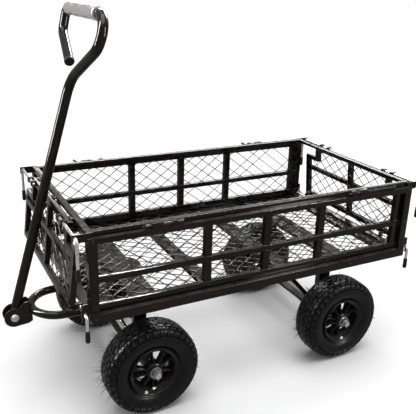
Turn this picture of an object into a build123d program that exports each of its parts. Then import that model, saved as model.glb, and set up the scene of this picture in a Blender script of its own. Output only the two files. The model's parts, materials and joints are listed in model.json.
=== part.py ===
from build123d import *
import math
import os

# Garden cart: a steel mesh bed on four pneumatic wheels, with lift-off long sides,
# end gates held by cranked latch rods, a steered front carriage and a folding pull handle.
# Axes: +X towards the pull handle, +Y to the cart's left, +Z up, ground at z = 0.

# ---- bed ----
BED_HALF_LENGTH = 481.0
BED_HALF_WIDTH = 289.0
BED_BOTTOM = 319.0
BED_RAIL_HEIGHT = 24.0
STEEL = 3.0
BED_FLANGE = 25.0
CORNER_PLATE_WIDTH = 22.0
CORNER_PLATE_HEIGHT = 30.0
PLATE_GAP = 0.4
STRAP_HEIGHT = 13.0
STRAP_SHEET = 2.5
STRAPS = ((326.0, 62.0), (147.0, 38.0), (-92.0, 48.0), (-277.0, 50.0), (-450.0, 40.0))

# ---- diamond mesh ----
DIAMOND_WIDTH = 50.0
DIAMOND_HEIGHT = 37.0
STRAND = 2.6
MESH_SHEET = 2.5

# ---- long sides ----
SIDE_FACE = 286.0
PANEL_FACE = 276.0
FRAME_DEPTH = 16.0
TOP_Z = 547.0
LEDGE_Z = 534.0
LEDGE_DEPTH = 15.0
RIM_WIDTH = 16.0
RIM_BOTTOM = 531.0
LEDGE_WIDTH = 13.0
SIDE_BOTTOM = 344.0
SIDE_BOTTOM_RAIL = 17.0
SIDE_MID_TOP = 432.0
SIDE_MID_RAIL = 15.0
STILE_WIDTH = 22.0
UPRIGHT_WIDTH = 20.0
UPRIGHT_PITCH = 173.0
REAR_POST_GROOVE = 4.0
HOOK_FACE = 279.0
HOOK_SHEET = 4.0
HOOK_SLOT = 4.6
HOOK_LIP = 3.4

# ---- end gates ----
FRONT_GATE_LEAN = 7.0
REAR_GATE_LEAN = 5.0
GATE_TOP_X = 492.0
GATE_TOP_Z = 541.0
GATE_HEIGHT = 199.0
GATE_DEPTH = 14.0
GATE_TOP_RAIL = 16.0
GATE_NOTCH_HALF = 186.0
GATE_MEMBER = 18.0
GATE_MID = 14.0
GATE_MID_DROP = 80.0
FRONT_GATE_HALF = 253.0
FRONT_GATE_NOTCH = 51.0
REAR_GATE_HALF = 240.0
REAR_GATE_NOTCH = 42.0
RIM_GAP = 0.6
RIM_DEPTH = 10.0
RIM_TAB = 24.0

# ---- latch rods and slide bolts ----
ROD_RADIUS = 4.0
ROD_PLAY = 0.35
TOP_ROD_X = 507.0
TOP_ROD_Z = 539.0
LOW_ROD_X = 492.0
LOW_ROD_Z = 345.0
ROD_LEG_Y = 291.0
TOP_ROD_LEG = 100.0
LOW_ROD_LEG = 68.0
ROD_BEND = 9.0
TIP_RADIUS = 6.0
TIP_LENGTH = 32.0
BRACKET_WIDTH = 12.0
BRACKET_WALL = 3.0
BOLT_Y = 280.0
BOLT_Z = 542.0
BOLT_RADIUS = 3.5

# ---- wheels and axles ----
TYRE_RADIUS = 127.0
TYRE_WIDTH = 84.0
WHEEL_Y = 232.0
FRONT_AXLE_X = 313.0
REAR_AXLE_X = -296.0
AXLE_RADIUS = 8.0
AXLE_HALF = 289.0
RIM_RADIUS = 64.0
HUB_RADIUS = 19.0
HUB_HALF = 36.0
BEARING_RADIUS = 14.0
BEARING_WIDTH = 11.0
RUNNING_PLAY = 0.06

# ---- front carriage and handle ----
CARRIAGE_LEG_Y = 160.0
CARRIAGE_TOP = 304.0
TURNTABLE_RADIUS = 62.0
TURNTABLE_SHEET = 4.0
KINGPIN_RADIUS = 8.0
TONGUE_Z = 238.0
TONGUE_RADIUS = 11.0
TONGUE_HALF = 75.0
TONGUE_BEND_X = 488.0
YOKE_X = 610.0
YOKE_Z = 224.0
YOKE_LOBE = 27.0
YOKE_INNER = 13.3
YOKE_SHEET = 4.0
YOKE_BOLT_RADIUS = 6.0
BOLT_HEAD = 10.0
HANDLE_RADIUS = 12.5
HANDLE_LEAN = 16.6
HANDLE_REACH = 809.0
HANDLE_BENDS = (70.0, 45.0, 20.0, 18.0, 35.0)
GRIP_LEFT = 94.0
GRIP_RIGHT = -155.0
TUBE_WALL = 2.0
GRIP_RADIUS = 17.5

# The origin is on the ground under the middle of the cart's overall length and width.
FRONT_END = YOKE_X + YOKE_LOBE
REAR_END = -(TOP_ROD_X + HOOK_SLOT + HOOK_LIP)
MID = -(FRONT_END + REAR_END) / 2

os.makedirs("parts", exist_ok=True)


def save(builder, label):
    builder.part.label = label
    export_step(builder.part, f"parts/{label}.step")


def box(x0, x1, y0, y1, z0, z1, mode=Mode.ADD):
    """Add a block between two corners to the part being built."""
    with Locations(((x0 + x1) / 2, (y0 + y1) / 2, (z0 + z1) / 2)):
        Box(abs(x1 - x0), abs(y1 - y0), abs(z1 - z0), mode=mode)


def rod_x(x0, x1, y, z, radius, mode=Mode.ADD):
    with Locations(Pos((x0 + x1) / 2, y, z) * Rot(0, 90, 0)):
        Cylinder(radius, abs(x1 - x0), mode=mode)


def rod_y(x, y0, y1, z, radius, mode=Mode.ADD):
    with Locations(Pos(x, (y0 + y1) / 2, z) * Rot(90, 0, 0)):
        Cylinder(radius, abs(y1 - y0), mode=mode)


def rod_z(x, y, z0, z1, radius, mode=Mode.ADD):
    with Locations((x, y, (z0 + z1) / 2)):
        Cylinder(radius, abs(z1 - z0), mode=mode)


def tube_along(points, bends, radius, wall=None):
    """Sweep a bar, or a tube if a wall is given, along a polyline; one bend radius per corner."""
    with BuildLine() as path:
        FilletPolyline(*points, radius=bends)
    with BuildSketch(path.line ^ 0) as section:
        Circle(radius)
        if wall:
            Circle(radius - wall, mode=Mode.SUBTRACT)
    sweep(section.sketch, path=path.line)


def diamond_sheet(plane, outline, thickness, width, height):
    """A flat sheet inside the outline polygon, pierced by rows of diamond openings."""
    xs = [p[0] for p in outline]
    ys = [p[1] for p in outline]
    columns = math.ceil((max(xs) - min(xs)) / width / 2) + 1
    rows = math.ceil((max(ys) - min(ys)) / height / 2) + 1
    mid_y = (max(ys) + min(ys)) / 2
    to_side = width * height / 4 / (math.hypot(width, height) / 2)
    shrink = 1 - STRAND / 2 / to_side
    half_w = width / 2 * shrink
    half_h = height / 2 * shrink
    mid_x = (max(xs) + min(xs)) / 2
    centres = []
    for i in range(-2 * columns, 2 * columns + 1):
        for j in range(-2 * rows, 2 * rows + 1):
            if (i + j) % 2 == 0:
                centres.append((mid_x + i * width / 2, mid_y + j * height / 2))
    openings = [c for c in centres if inside(c, outline, half_w, half_h)]
    with BuildSketch(plane) as sheet:
        with BuildLine():
            Polyline(*outline, close=True)
        make_face()
        with Locations(*openings):
            Polygon(
                (half_w, 0), (0, half_h), (-half_w, 0), (0, -half_h), align=None,
                mode=Mode.SUBTRACT,
            )
    extrude(sheet.sketch, amount=thickness)


def inside(centre, outline, half_w, half_h):
    """True when the whole diamond lies inside the outline with a strand to spare."""
    reach_w = half_w + STRAND
    reach_h = half_h + STRAND
    tips = [(centre[0] + reach_w, centre[1]), (centre[0] - reach_w, centre[1])]
    tips += [(centre[0], centre[1] + reach_h), (centre[0], centre[1] - reach_h)]
    return all(point_in(tip, outline) for tip in tips)


def point_in(point, outline):
    x, y = point
    hit = False
    for (x0, y0), (x1, y1) in zip(outline, outline[1:] + outline[:1]):
        if (y0 > y) != (y1 > y) and x < (x1 - x0) * (y - y0) / (y1 - y0) + x0:
            hit = not hit
    return hit


# ---------------------------------------------------------------- bed

def bed_frame():
    front = MID + BED_HALF_LENGTH
    rear = MID - BED_HALF_LENGTH
    top = BED_BOTTOM + BED_RAIL_HEIGHT
    w = BED_HALF_WIDTH
    with BuildPart() as part:
        box(rear, front, -w, w, BED_BOTTOM, top)
        box(
            rear + STEEL, front - STEEL, STEEL - w, w - STEEL,
            BED_BOTTOM + STEEL, top - STEEL, Mode.SUBTRACT,
        )
        box(
            rear + BED_FLANGE, front - BED_FLANGE, BED_FLANGE - w, w - BED_FLANGE,
            BED_BOTTOM, top, Mode.SUBTRACT,
        )
        for side in (-1, 1):
            for x in (MID - BED_HALF_LENGTH, front - CORNER_PLATE_WIDTH):
                box(
                    x, x + CORNER_PLATE_WIDTH, side * w, side * (SIDE_FACE + PLATE_GAP),
                    BED_BOTTOM, BED_BOTTOM + CORNER_PLATE_HEIGHT,
                )
    save(part, "bed_frame")


def floor_straps():
    z0 = BED_BOTTOM + STEEL
    half = BED_HALF_WIDTH - STEEL
    with BuildPart() as part:
        for x, width in STRAPS:
            x0 = MID + x - width / 2
            x1 = MID + x + width / 2
            box(x0, x1, -half, half, z0, z0 + STRAP_HEIGHT)
            box(
                x0 + STRAP_SHEET, x1 - STRAP_SHEET, -half, half,
                z0, z0 + STRAP_HEIGHT - STRAP_SHEET, Mode.SUBTRACT,
            )
    save(part, "floor_straps")


def floor_mesh():
    z0 = BED_BOTTOM + STEEL + STRAP_HEIGHT
    x0 = MID - BED_HALF_LENGTH + STEEL
    x1 = MID + BED_HALF_LENGTH - STEEL
    y1 = BED_HALF_WIDTH - STEEL
    outline = [(x0, -y1), (x1, -y1), (x1, y1), (x0, y1)]
    with BuildPart() as part:
        diamond_sheet(Plane.XY.offset(z0), outline, MESH_SHEET, DIAMOND_WIDTH, DIAMOND_HEIGHT)
    save(part, "floor_mesh")


def front_crossmember():
    """Hat-section member under the bed that carries the upper turntable plate."""
    x = MID + FRONT_AXLE_X
    top = BED_BOTTOM
    low = CARRIAGE_TOP + TURNTABLE_SHEET + 0.3
    with BuildPart() as part:
        box(x - 32, x + 32, -BED_HALF_WIDTH + 4, BED_HALF_WIDTH - 4, top - STEEL, top)
        for side in (-1, 1):
            edge = x + side * 32
            box(edge, edge - side * STEEL, -BED_HALF_WIDTH + 30, BED_HALF_WIDTH - 30, low, top)
        rod_z(x, 0, low, low + TURNTABLE_SHEET, TURNTABLE_RADIUS)
        rod_z(x, 0, low, top, 2 * KINGPIN_RADIUS)
        rod_z(x, 0, low - 1, top + 1, KINGPIN_RADIUS + RUNNING_PLAY, Mode.SUBTRACT)
    save(part, "front_crossmember")


def kingpin():
    x = MID + FRONT_AXLE_X
    low = CARRIAGE_TOP - TURNTABLE_SHEET - 12
    top = BED_BOTTOM
    with BuildPart() as part:
        rod_z(x, 0, low, top + 1, KINGPIN_RADIUS)
        with BuildSketch(Plane.XY.offset(top)):
            with Locations((x, 0)):
                RegularPolygon(13, 6)
        extrude(amount=9)
        with BuildSketch(Plane.XY.offset(low - 4)):
            with Locations((x, 0)):
                RegularPolygon(13, 6)
        extrude(amount=11)
    save(part, "kingpin")


def rear_axle_supports():
    """Two channel legs and a tie plate that hold the rear axle under the bed."""
    x = MID + REAR_AXLE_X
    axle_z = TYRE_RADIUS
    with BuildPart() as part:
        for side in (-1, 1):
            y = side * CARRIAGE_LEG_Y
            box(x - 20, x + 20, y - 2.5, y + 2.5, axle_z - 22, BED_BOTTOM)
            for edge in (-1, 1):
                x_edge = x + edge * 20
                box(x_edge, x_edge - edge * STEEL, y, y - side * 18, axle_z - 22, BED_BOTTOM)
        box(x - 36, x + 36, -CARRIAGE_LEG_Y - 20, CARRIAGE_LEG_Y + 20, BED_BOTTOM - 4, BED_BOTTOM)
        box(x - 20, x + 20, -CARRIAGE_LEG_Y, CARRIAGE_LEG_Y, axle_z - 22, axle_z - 19)
        rod_y(x, -CARRIAGE_LEG_Y - 20, CARRIAGE_LEG_Y + 20, axle_z, AXLE_RADIUS + 0.3, Mode.SUBTRACT)
    save(part, "rear_axle_supports")


def rear_braces():
    """Flat diagonal braces from the rear legs forward to the bed."""
    low = (MID + REAR_AXLE_X + 20, TYRE_RADIUS - 4)
    high = (MID - 100, BED_BOTTOM)
    with BuildPart() as part:
        for side in (-1, 1):
            y = side * (CARRIAGE_LEG_Y - 3)
            with BuildSketch(Plane.XZ.offset(-y)):
                with BuildLine():
                    Polyline(
                        (low[0], low[1]), (low[0], low[1] + 20), (high[0] - 16, high[1]),
                        (high[0], high[1]), close=True,
                    )
                make_face()
            extrude(amount=side * 5)
            box(high[0] - 30, high[0] + 12, y, y - side * 22, BED_BOTTOM - STEEL, BED_BOTTOM)
    save(part, "rear_braces")


def axle(label, x):
    """Round axle with a shoulder collar inside each hub."""
    with BuildPart() as part:
        rod_y(x, -AXLE_HALF, AXLE_HALF, TYRE_RADIUS, AXLE_RADIUS)
        for side in (-1, 1):
            inner = side * (WHEEL_Y - HUB_HALF - 1.0)
            rod_y(x, inner, inner - side * 6, TYRE_RADIUS, AXLE_RADIUS + 5)
            for shift in (-1, 1):
                y = side * (AXLE_HALF - 4)
                rod_z(x, y, TYRE_RADIUS, TYRE_RADIUS + shift * 20, 1.8, Mode.SUBTRACT)
    save(part, label)


def axle_nuts(label, x):
    """Washer, castle nut and cotter pin at each end of an axle."""
    with BuildPart() as part:
        for side in (-1, 1):
            y = side * (WHEEL_Y + HUB_HALF + 1.2)
            rod_y(x, y, y + side * 2.5, TYRE_RADIUS, 16)
            with BuildSketch(Plane.XZ.offset(-(y + side * 2.5))):
                with Locations((x, TYRE_RADIUS)):
                    RegularPolygon(13.5, 6)
            extrude(amount=-side * 9)
            rod_y(x, y - side, y + side * 20, TYRE_RADIUS, AXLE_RADIUS + 0.05, Mode.SUBTRACT)
        for side in (-1, 1):
            rod_z(x, side * (AXLE_HALF - 4), TYRE_RADIUS - 15, TYRE_RADIUS + 13, 1.5)
    save(part, label)


# ---------------------------------------------------------------- long sides

def side_frame(label, side):
    """Welded frame of a long side, with the rim rail, the ledge rail and four hook plates."""
    ledge = side * SIDE_FACE
    face = side * PANEL_FACE
    back = side * (PANEL_FACE - FRAME_DEPTH)
    rim = side * (SIDE_FACE - LEDGE_WIDTH)
    half = BED_HALF_LENGTH
    low_ledge = LEDGE_Z - LEDGE_DEPTH
    with BuildPart() as part:
        box(MID - half, MID + half, rim, rim - side * RIM_WIDTH, RIM_BOTTOM, TOP_Z)
        box(MID - half, MID + half, rim, ledge, low_ledge, LEDGE_Z)
        box(MID - half, MID + half, back, face, SIDE_BOTTOM, SIDE_BOTTOM + SIDE_BOTTOM_RAIL)
        box(MID - half, MID + half, back, face, SIDE_MID_TOP - SIDE_MID_RAIL, SIDE_MID_TOP)
        for x in (-half, half - STILE_WIDTH):
            box(MID + x, MID + x + STILE_WIDTH, back, ledge, SIDE_BOTTOM, LEDGE_Z - 1)
        post = MID - half + STILE_WIDTH + REAR_POST_GROOVE
        box(post, post + UPRIGHT_WIDTH, back, face - side, SIDE_BOTTOM, LEDGE_Z - 1)
        for x in (-UPRIGHT_PITCH, 0, UPRIGHT_PITCH):
            x0 = MID + x - UPRIGHT_WIDTH / 2
            box(x0, x0 + UPRIGHT_WIDTH, back, face - side, SIDE_BOTTOM, LEDGE_Z - 1)
        hollow_rails(side)
        for end in (-1, 1):
            hook_plate(end, side, TOP_ROD_X, TOP_ROD_Z, 8, 12)
            hook_plate(end, side, LOW_ROD_X, LOW_ROD_Z, 26, 22)
    save(part, label)


def hollow_rails(side):
    """Bores that turn the long side's rails and posts into open-ended tubes."""
    w = TUBE_WALL
    face = side * (PANEL_FACE - w)
    back = side * (PANEL_FACE - FRAME_DEPTH + w)
    x0 = MID - BED_HALF_LENGTH - 1
    x1 = MID + BED_HALF_LENGTH + 1
    low_ledge = LEDGE_Z - LEDGE_DEPTH
    rim = side * (SIDE_FACE - LEDGE_WIDTH - w)
    box(x0, x1, rim, rim - side * (RIM_WIDTH - 2 * w), RIM_BOTTOM + w, TOP_Z - w, Mode.SUBTRACT)
    low_top = SIDE_BOTTOM + SIDE_BOTTOM_RAIL
    box(x0, x1, back, face, SIDE_BOTTOM + w, low_top - w, Mode.SUBTRACT)
    box(x0, x1, back, face, SIDE_MID_TOP - SIDE_MID_RAIL + w, SIDE_MID_TOP - w, Mode.SUBTRACT)
    for x in (-UPRIGHT_PITCH, 0, UPRIGHT_PITCH):
        half = UPRIGHT_WIDTH / 2 - w
        low = SIDE_BOTTOM - 1
        box(MID + x - half, MID + x + half, back, face - side, low, low_ledge - w, Mode.SUBTRACT)


def hook_plate(end, side, rod_x_at, rod_z_at, rise, drop):
    """Flat plate with a slot open at the bottom, which hangs over a latch rod."""
    slot = HOOK_SLOT
    x_in = MID + end * (BED_HALF_LENGTH - 14)
    x_clear = MID + end * (BED_HALF_LENGTH + 1)
    x_out = MID + end * (rod_x_at + slot + HOOK_LIP)
    x_rod = MID + end * rod_x_at
    y0 = side * (HOOK_FACE - HOOK_SHEET)
    y1 = side * HOOK_FACE
    top = rod_z_at + rise
    low = rod_z_at - drop
    box(x_in, x_out, y0, y1, max(low, SIDE_BOTTOM), top)
    box(x_clear, x_out, y0, y1, low, top)
    box(x_rod - slot, x_rod + slot, y0 - side, y1 + side, low - 1, rod_z_at, Mode.SUBTRACT)
    rod_y(x_rod, y0 - side, y1 + side, rod_z_at, slot, Mode.SUBTRACT)


def side_mesh(label, side):
    y = side * (PANEL_FACE - FRAME_DEPTH)
    x0 = MID - BED_HALF_LENGTH + 2
    x1 = MID + BED_HALF_LENGTH - 2
    z0 = SIDE_BOTTOM + 2
    z1 = RIM_BOTTOM
    outline = [(x0, z0), (x1, z0), (x1, z1), (x0, z1)]
    plane = Plane((0, y, 0), x_dir=(1, 0, 0), z_dir=(0, -1, 0))
    with BuildPart() as part:
        diamond_sheet(plane, outline, side * MESH_SHEET, DIAMOND_WIDTH, DIAMOND_HEIGHT)
    save(part, label)


def bolt_brackets(label, side):
    """Straps on the ledge that guide the two slide bolts of a long side."""
    y = side * BOLT_Y
    rim = side * (SIDE_FACE - LEDGE_WIDTH)
    face = side * (SIDE_FACE - 0.5)
    with BuildPart() as part:
        for x0, x1 in ((298, 328), (262, 274), (-316, -290), (-276, -262)):
            box(MID + x0, MID + x1, rim, face, LEDGE_Z, BOLT_Z + BOLT_RADIUS + 3)
            rod_x(MID + x0 - 1, MID + x1 + 1, y, BOLT_Z, BOLT_RADIUS + ROD_PLAY, Mode.SUBTRACT)
    save(part, label)


def slide_bolt(label, side, x_tail, x_tip):
    """Cranked rod that slides along a long side; the tail is bent out as a finger hold."""
    y = side * BOLT_Y
    direction = 1 if x_tip > x_tail else -1
    with BuildPart() as part:
        start = (MID + x_tail, y + side * 12, BOLT_Z + 6)
        corner = (MID + x_tail + direction * 9, y, BOLT_Z)
        tube_along((start, corner, (MID + x_tip, y, BOLT_Z)), 6, BOLT_RADIUS)
    save(part, label)


# ---------------------------------------------------------------- end gates

def gate_lean(end):
    return math.radians(FRONT_GATE_LEAN if end > 0 else REAR_GATE_LEAN)


def gate_plane(end, normal_shift=0.0):
    """Gate plane: local x across the cart, local y up the gate, local z outwards."""
    lean = gate_lean(end)
    normal = Vector(end * math.cos(lean), 0, math.sin(lean))
    origin = Vector(MID + end * GATE_TOP_X, 0, GATE_TOP_Z) + normal * normal_shift
    return Plane(origin, x_dir=(0, end, 0), z_dir=normal)


def gate_outline(half, notch, top):
    n = GATE_NOTCH_HALF - 2
    return [
        (-half, -GATE_HEIGHT), (half, -GATE_HEIGHT), (half, -notch), (n, -notch),
        (n, top), (-n, top), (-n, -notch), (-half, -notch),
    ]


def bar(x0, x1, y0, y1):
    with Locations(((x0 + x1) / 2, (y0 + y1) / 2)):
        Rectangle(abs(x1 - x0), abs(y1 - y0))


def gate_frame(label, end, half, notch):
    n = GATE_NOTCH_HALF
    m = GATE_MEMBER
    with BuildPart() as part:
        with BuildSketch(gate_plane(end)):
            bar(-n, n, -GATE_TOP_RAIL, 0)
            bar(-half, half, -GATE_HEIGHT, GATE_TOP_RAIL - GATE_HEIGHT)
            bar(-half, half, -GATE_MID_DROP - GATE_MID, -GATE_MID_DROP)
            bar(-m / 2 + 1, m / 2 - 1, -GATE_HEIGHT, 0)
            for s in (-1, 1):
                bar(s * n, s * (n - m), -notch - GATE_MID, 0)
                bar(s * (n - m), s * half, -notch - GATE_MID, -notch)
                bar(s * half, s * (half - m), -GATE_HEIGHT, -notch)
        extrude(amount=GATE_DEPTH / 2, both=True)
        w = TUBE_WALL
        with BuildSketch(gate_plane(end)):
            bar(-n - 1, n + 1, w - GATE_TOP_RAIL, -w)
            bar(-half - 1, half + 1, w - GATE_HEIGHT, GATE_TOP_RAIL - GATE_HEIGHT - w)
            bar(-half - 1, half + 1, w - GATE_MID_DROP - GATE_MID, -GATE_MID_DROP - w)
            for s in (-1, 1):
                bar(s * (half - w), s * (half - m + w), -GATE_HEIGHT - 1, -notch - w)
        extrude(amount=GATE_DEPTH / 2 - w, both=True, mode=Mode.SUBTRACT)
        rim_bar(end)
    save(part, label)


def rim_bar(end):
    """Bar level with the long sides' rim rails and butting against them, on three welded tabs."""
    x_out = MID + end * BED_HALF_LENGTH
    x_in = MID + end * (BED_HALF_LENGTH - RIM_WIDTH)
    half = SIDE_FACE - LEDGE_WIDTH - RIM_WIDTH - RIM_GAP
    box(x_in, x_out, -half, half, TOP_Z - RIM_DEPTH, TOP_Z)
    for y in (-GATE_NOTCH_HALF + RIM_TAB, 0, GATE_NOTCH_HALF - RIM_TAB):
        tab = MID + end * (GATE_TOP_X - 4)
        box(x_out - end, tab, y - RIM_TAB / 2, y + RIM_TAB / 2, TOP_Z - 8, TOP_Z - 3)


def gate_mesh(label, end, half, notch):
    plane = gate_plane(end, -GATE_DEPTH / 2)
    with BuildPart() as part:
        diamond_sheet(
            plane, gate_outline(half - 2, notch + 2, -9), -MESH_SHEET, DIAMOND_WIDTH, DIAMOND_HEIGHT,
        )
    save(part, label)


def gate_brackets(label, end, half):
    """Folded straps welded to the gate that guide its four latch rods."""
    play = ROD_RADIUS + ROD_PLAY
    reach = ROD_RADIUS + BRACKET_WALL
    with BuildPart() as part:
        for side in (-1, 1):
            for y in (GATE_NOTCH_HALF - 10, GATE_NOTCH_HALF - 48):
                y0 = side * (y - BRACKET_WIDTH / 2)
                y1 = side * (y + BRACKET_WIDTH / 2)
                box_on_gate(end, y0, y1, TOP_ROD_X + reach, TOP_ROD_Z, reach, True)
                rod_y(MID + end * TOP_ROD_X, y0 - 20 * side, y1 + 20 * side, TOP_ROD_Z, play, Mode.SUBTRACT)
            for y in (half - 24, half - 62):
                y0 = side * (y - BRACKET_WIDTH / 2)
                y1 = side * (y + BRACKET_WIDTH / 2)
                box_on_gate(end, y0, y1, LOW_ROD_X - reach, LOW_ROD_Z, reach, False)
                rod_y(MID + end * LOW_ROD_X, y0 - 20 * side, y1 + 20 * side, LOW_ROD_Z, play, Mode.SUBTRACT)
    save(part, label)


def gate_surface_x(end, z, outer):
    """Distance from the bed's middle to the gate's outer face, or to its mesh, at a height."""
    lean = gate_lean(end)
    centre = GATE_TOP_X + (GATE_TOP_Z - z) * math.tan(lean)
    if outer:
        return centre + GATE_DEPTH / 2 / math.cos(lean)
    return centre - (GATE_DEPTH / 2 + MESH_SHEET) / math.cos(lean)


def box_on_gate(end, y0, y1, x_far, z, reach, outer):
    """Block from the gate's sloping face to x_far, around a rod at height z."""
    low = gate_surface_x(end, z - reach, outer)
    high = gate_surface_x(end, z + reach, outer)
    near = Plane((0, y0, 0), x_dir=(1, 0, 0), z_dir=(0, math.copysign(1, y1 - y0), 0))
    flip = -math.copysign(1, y1 - y0)
    with BuildSketch(near) as section:
        with BuildLine():
            Polyline(
                (MID + end * low, flip * (z - reach)), (MID + end * x_far, flip * (z - reach)),
                (MID + end * x_far, flip * (z + reach)), (MID + end * high, flip * (z + reach)),
                close=True,
            )
        make_face()
    extrude(section.sketch, amount=abs(y1 - y0))


def latch_rod(label, end, side, x, z, inner_y, drop):
    """Zinc rod across a gate's corner, cranked down outside the hook, with a dipped tip."""
    xr = MID + end * x
    leg = side * ROD_LEG_Y
    with BuildPart() as part:
        tube_along(
            ((xr, side * inner_y, z), (xr, leg, z), (xr, leg, z - drop + TIP_LENGTH - 6)),
            ROD_BEND, ROD_RADIUS,
        )
        rod_z(xr, leg, z - drop, z - drop + TIP_LENGTH, TIP_RADIUS)
        fillet(part.edges().group_by(Axis.Z)[0], 2.5)
    save(part, label)


# ---------------------------------------------------------------- front carriage

def carriage_frame():
    """Inverted U: two legs down to the front axle, a top channel and raking braces."""
    x = MID + FRONT_AXLE_X
    axle_z = TYRE_RADIUS
    top = CARRIAGE_TOP - TURNTABLE_SHEET
    with BuildPart() as part:
        for side in (-1, 1):
            y = side * CARRIAGE_LEG_Y
            box(x - 18, x + 18, y - 2.5, y + 2.5, axle_z - 20, top)
            for edge in (-1, 1):
                box(x + edge * 18, x + edge * 15, y, y - side * 16, axle_z - 20, top)
            with BuildSketch(Plane.XZ.offset(-(y - side * 2.5))):
                with BuildLine():
                    Polyline(
                        (x + 16, axle_z + 36), (x + 16, axle_z + 46), (x + 78, top),
                        (x + 85, top), close=True,
                    )
                make_face()
            extrude(amount=side * 5)
            box(x + 66, x + 98, side * 60, y, top - STEEL, top)
            box(x - 10, x + 98, side * 60, side * 90, top - STEEL, top)
        box(x - 32, x + 32, -CARRIAGE_LEG_Y - 2.5, CARRIAGE_LEG_Y + 2.5, top - STEEL, top)
        box(x - 18, x + 18, -CARRIAGE_LEG_Y, CARRIAGE_LEG_Y, axle_z - 20, axle_z - 17)
        rod_y(x, -CARRIAGE_LEG_Y - 20, CARRIAGE_LEG_Y + 20, axle_z, AXLE_RADIUS + 0.3, Mode.SUBTRACT)
        rod_z(x, 0, top - 10, top + 1, KINGPIN_RADIUS + RUNNING_PLAY, Mode.SUBTRACT)
    save(part, "carriage_frame")


def turntable_plate():
    x = MID + FRONT_AXLE_X
    with BuildPart() as part:
        rod_z(x, 0, CARRIAGE_TOP - TURNTABLE_SHEET, CARRIAGE_TOP + TURNTABLE_SHEET, TURNTABLE_RADIUS)
        rod_z(
            x, 0, CARRIAGE_TOP - 10, CARRIAGE_TOP + 10, KINGPIN_RADIUS + RUNNING_PLAY, Mode.SUBTRACT,
        )
    save(part, "turntable_plate")


def tongue_loop():
    """Bent tube that runs forward from the carriage and back as a loop."""
    front = MID + TONGUE_BEND_X + TONGUE_HALF
    rear = MID + FRONT_AXLE_X + 18
    h = TONGUE_HALF
    with BuildPart() as part:
        with BuildLine() as path:
            tail = MID + FRONT_AXLE_X + 80
            a = Line((rear, -h, TONGUE_Z), (MID + TONGUE_BEND_X, -h, TONGUE_Z))
            b = ThreePointArc(a @ 1, (front, 0, TONGUE_Z), (MID + TONGUE_BEND_X, h, TONGUE_Z))
            Line(b @ 1, (rear, h, TONGUE_Z))
        with BuildSketch(Plane((rear, -h, TONGUE_Z), z_dir=(1, 0, 0))):
            Circle(TONGUE_RADIUS)
            Circle(TONGUE_RADIUS - TUBE_WALL, mode=Mode.SUBTRACT)
        sweep(path=path.line)
        for side in (-1, 1):
            y = side * h
            top = CARRIAGE_TOP - TURNTABLE_SHEET - STEEL
            box(rear + 4, tail, y - 2.5, y + 2.5, TONGUE_Z + 4, top)
            far = side * (CARRIAGE_LEG_Y - 16)
            box(rear, rear + 5, y - side * 14, far, TONGUE_Z - 14, TONGUE_Z + 14)
    save(part, "tongue_loop")


def yoke():
    """Two cheek plates and a web, welded to the front of the tongue loop."""
    x = MID + YOKE_X
    z = YOKE_Z
    root = MID + TONGUE_BEND_X + TONGUE_HALF
    with BuildPart() as part:
        for side in (-1, 1):
            with BuildSketch(Plane.XZ.offset(-side * YOKE_INNER)):
                with BuildLine():
                    Polyline(
                        (root + 1, z + 30), (root + 10, z + 40), (root + 22, z + 40), (x - 10, z + 24),
                        (x, z - YOKE_LOBE), (root + 12, z - 24), (root + 1, z - 18), close=True,
                    )
                make_face()
                with Locations((x, z)):
                    Circle(YOKE_LOBE)
            extrude(amount=-side * YOKE_SHEET)
        half = YOKE_INNER + YOKE_SHEET
        box(root + 1, root + 5, -half, half, z - 16, z + 30)
        rod_y(x, -40, 40, z, YOKE_BOLT_RADIUS + 0.05, Mode.SUBTRACT)
        with BuildLine() as ring:
            CenterArc((root - TONGUE_HALF, 0, TONGUE_Z), TONGUE_HALF, -40, 80)
        with BuildSketch(ring.line ^ 0):
            Circle(TONGUE_RADIUS)
        sweep(path=ring.line, mode=Mode.SUBTRACT)
    save(part, "yoke")


def yoke_bolt():
    x = MID + YOKE_X
    outer = YOKE_INNER + YOKE_SHEET
    with BuildPart() as part:
        rod_y(x, -outer - 13, outer + 3, YOKE_Z, YOKE_BOLT_RADIUS)
        rod_y(x, outer, outer + 3, YOKE_Z, BOLT_HEAD + 1)
        with BuildSketch(Plane.XZ.offset(outer)):
            with Locations((x, YOKE_Z)):
                RegularPolygon(BOLT_HEAD, 6)
        extrude(amount=9)
        fillet(part.edges().group_by(Axis.Y)[-1], 2.0)
    save(part, "yoke_bolt")


# ---------------------------------------------------------------- handle

def handle_plane():
    """Local x across the cart, local y up the leaning handle, from the yoke bolt."""
    lean = math.radians(HANDLE_LEAN)
    normal = Vector(math.cos(lean), 0, math.sin(lean))
    return Plane((MID + YOKE_X, 0, YOKE_Z), x_dir=(0, 1, 0), z_dir=normal)


def handle_path():
    """Tube path: straight shaft, wide bend to the left, grip across, return leg on the right."""
    top = HANDLE_REACH
    plane = handle_plane()
    flat = (
        (0, -16), (0, top - 167), (194, top - 48), (112, top),
        (-182, top), (-166, top - 62), (-47, top - 125),
    )
    return [plane.from_local_coords(Vector(a, b, 0)) for a, b in flat]


def handle_tube():
    with BuildPart() as part:
        tube_along(handle_path(), HANDLE_BENDS, HANDLE_RADIUS, TUBE_WALL)
        rod_y(MID + YOKE_X, -40, 40, YOKE_Z, YOKE_BOLT_RADIUS + 0.06, Mode.SUBTRACT)
    save(part, "handle_tube")


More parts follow.
